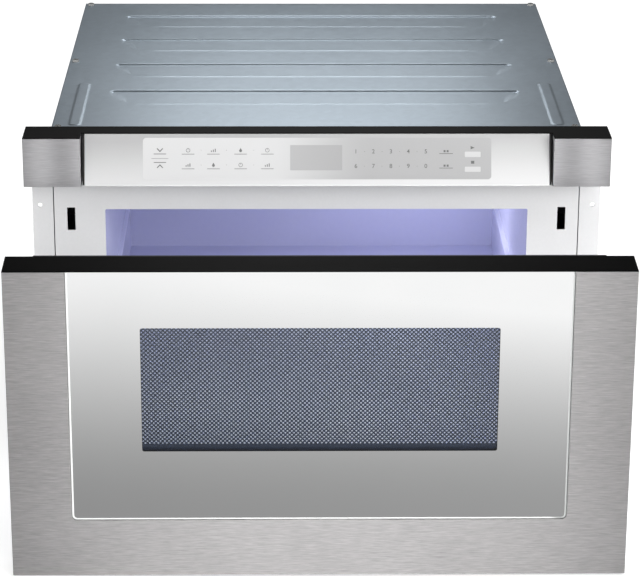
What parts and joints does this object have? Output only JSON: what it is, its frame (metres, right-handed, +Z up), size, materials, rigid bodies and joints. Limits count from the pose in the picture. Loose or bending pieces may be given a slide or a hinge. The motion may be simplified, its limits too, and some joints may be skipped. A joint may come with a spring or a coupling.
{
  "type": "microwave drawer",
  "caption": "Built-in microwave oven whose glass-fronted drawer slides out under a touch control panel.",
  "frame": {"origin": "middle of the case's underside", "axes": "+Z up, +Y to the back of the case, the drawer opens towards -Y, +X to the right seen from the front"},
  "size_m": [0.6066, 0.8358, 0.3809],
  "materials": {
    "galvanised_steel": "bluish zinc-coated sheet, faint spangle",
    "cavity_enamel": "smooth pale grey-violet oven paint",
    "face_paint": "semi-gloss pale grey paint",
    "stainless": "horizontally brushed stainless steel",
    "black_trim": "satin black",
    "mirror_glass": "silver mirrored front glass",
    "screen_metal": "perforated dark sheet",
    "zinc_screw": "bright zinc plate",
    "slide_steel": "zinc-plated rolled steel",
    "black_plastic": "moulded black plastic",
    "white_plastic": "moulded natural plastic",
    "chassis_steel": "plain pressed steel",
    "ceramic_glass": "smooth pale glass-ceramic",
    "core_steel": "varnished core laminations",
    "winding_enamel": "wrapped copper windings",
    "aluminium_sheet": "plain aluminium",
    "board_green": "circuit board and its parts",
    "lamp_glass": "clear lamp glass",
    "display_black": "dark display window",
    "gear_plastic": "natural acetal"
  },
  "bodies": {
    "cabinet": {"base_pan": "galvanised_steel", "left_side_panel": "galvanised_steel", "right_side_panel": "galvanised_steel", "rear_panel": "galvanised_steel", "top_panel": "galvanised_steel", "case_screws": "zinc_screw", "cord_gland": "black_plastic", "face_frame": "face_paint", "oven_cavity": "cavity_enamel", "stirrer_cover": "white_plastic", "waveguide": "galvanised_steel", "stirrer_motor": "chassis_steel", "magnetron_case": "chassis_steel", "magnetron_anode": "aluminium_sheet", "transformer_core": "core_steel", "transformer_windings": "winding_enamel", "capacitor": "aluminium_sheet", "diode": "black_plastic", "fan_duct": "black_plastic", "fan_motor": "chassis_steel", "filter_board": "board_green", "lamp_housing": "galvanised_steel", "cavity_lamp": "lamp_glass", "left_end_block": "stainless", "right_end_block": "stainless", "control_top_trim": "black_trim", "control_glass": "mirror_glass", "control_housing": "black_plastic", "display_module": "display_black", "control_board": "board_green", "left_latch_switches": "black_plastic", "right_latch_switches": "black_plastic", "left_slide_bracket": "slide_steel", "right_slide_bracket": "slide_steel", "left_slide_outer": "slide_steel", "right_slide_outer": "slide_steel", "drawer_motor": "black_plastic"},
    "drawer": {"door_frame": "stainless", "door_glass": "mirror_glass", "door_top_trim": "black_trim", "window_screen": "screen_metal", "door_chassis": "chassis_steel", "choke_cover": "black_plastic", "latch_springs": "slide_steel", "drawer_tub": "cavity_enamel", "ceramic_shelf": "ceramic_glass", "left_drawer_arm": "slide_steel", "right_drawer_arm": "slide_steel", "left_slide_inner": "slide_steel", "right_slide_inner": "slide_steel", "drive_rack": "gear_plastic"},
    "slide_middles": {"left_slide_middle": "slide_steel", "right_slide_middle": "slide_steel"},
    "outer_cages": {"outer_ball_cages": "slide_steel"},
    "inner_cages": {"inner_ball_cages": "slide_steel"},
    "pinion": {"drive_pinion": "gear_plastic"},
    "fan": {"fan_blade": "white_plastic"},
    "stirrer": {"stirrer_blade": "aluminium_sheet"},
    "left_hook": {"left_latch_hook": "gear_plastic"},
    "right_hook": {"right_latch_hook": "gear_plastic"}
  },
  "joints": [
    {"name": "drawer_slide", "type": "slide", "parent": "cabinet", "child": "drawer", "axis": [0, -1, 0], "range_m": [-0.2393, 0.1407]},
    {"name": "middle_travel", "type": "slide", "parent": "cabinet", "child": "slide_middles", "axis": [0, -1, 0], "range_m": [-0.12065, 0.07135]},
    {"name": "outer_cage_travel", "type": "slide", "parent": "cabinet", "child": "outer_cages", "axis": [0, -1, 0], "range_m": [-0.06082, 0.03617]},
    {"name": "inner_cage_travel", "type": "slide", "parent": "cabinet", "child": "inner_cages", "axis": [0, -1, 0], "range_m": [-0.18047, 0.10652]},
    {"name": "pinion_spin", "type": "hinge", "parent": "cabinet", "child": "pinion", "pos_m": [0, -0.241, 0.02775], "axis": [1, 0, 0], "range_deg": [-763, 449]},
    {"name": "fan_spin", "type": "hinge", "parent": "cabinet", "child": "fan", "pos_m": [-0.09, 0.2233, 0.2579], "axis": [1, 0, 0], "continuous": true},
    {"name": "stirrer_spin", "type": "hinge", "parent": "cabinet", "child": "stirrer", "pos_m": [0, -0.052, 0.2899], "axis": [0, 0, 1], "continuous": true},
    {"name": "left_hook_pivot", "type": "hinge", "parent": "drawer", "child": "left_hook", "pos_m": [-0.2585, -0.5323, 0.2837], "axis": [1, 0, 0], "range_deg": [-7, 0], "stiffness_Nm_per_rad": 0.05, "springref_deg": 8.59},
    {"name": "right_hook_pivot", "type": "hinge", "parent": "drawer", "child": "right_hook", "pos_m": [0.2585, -0.5323, 0.2837], "axis": [1, 0, 0], "range_deg": [-7, 0], "stiffness_Nm_per_rad": 0.05, "springref_deg": 8.59}
  ],
  "couplings": [
    {"joint": "middle_travel", "follows": "drawer_slide", "ratio": 0.5},
    {"joint": "outer_cage_travel", "follows": "drawer_slide", "ratio": 0.25},
    {"joint": "inner_cage_travel", "follows": "drawer_slide", "ratio": 0.75},
    {"joint": "pinion_spin", "follows": "drawer_slide", "rad_per_m": 55.556}
  ]
}
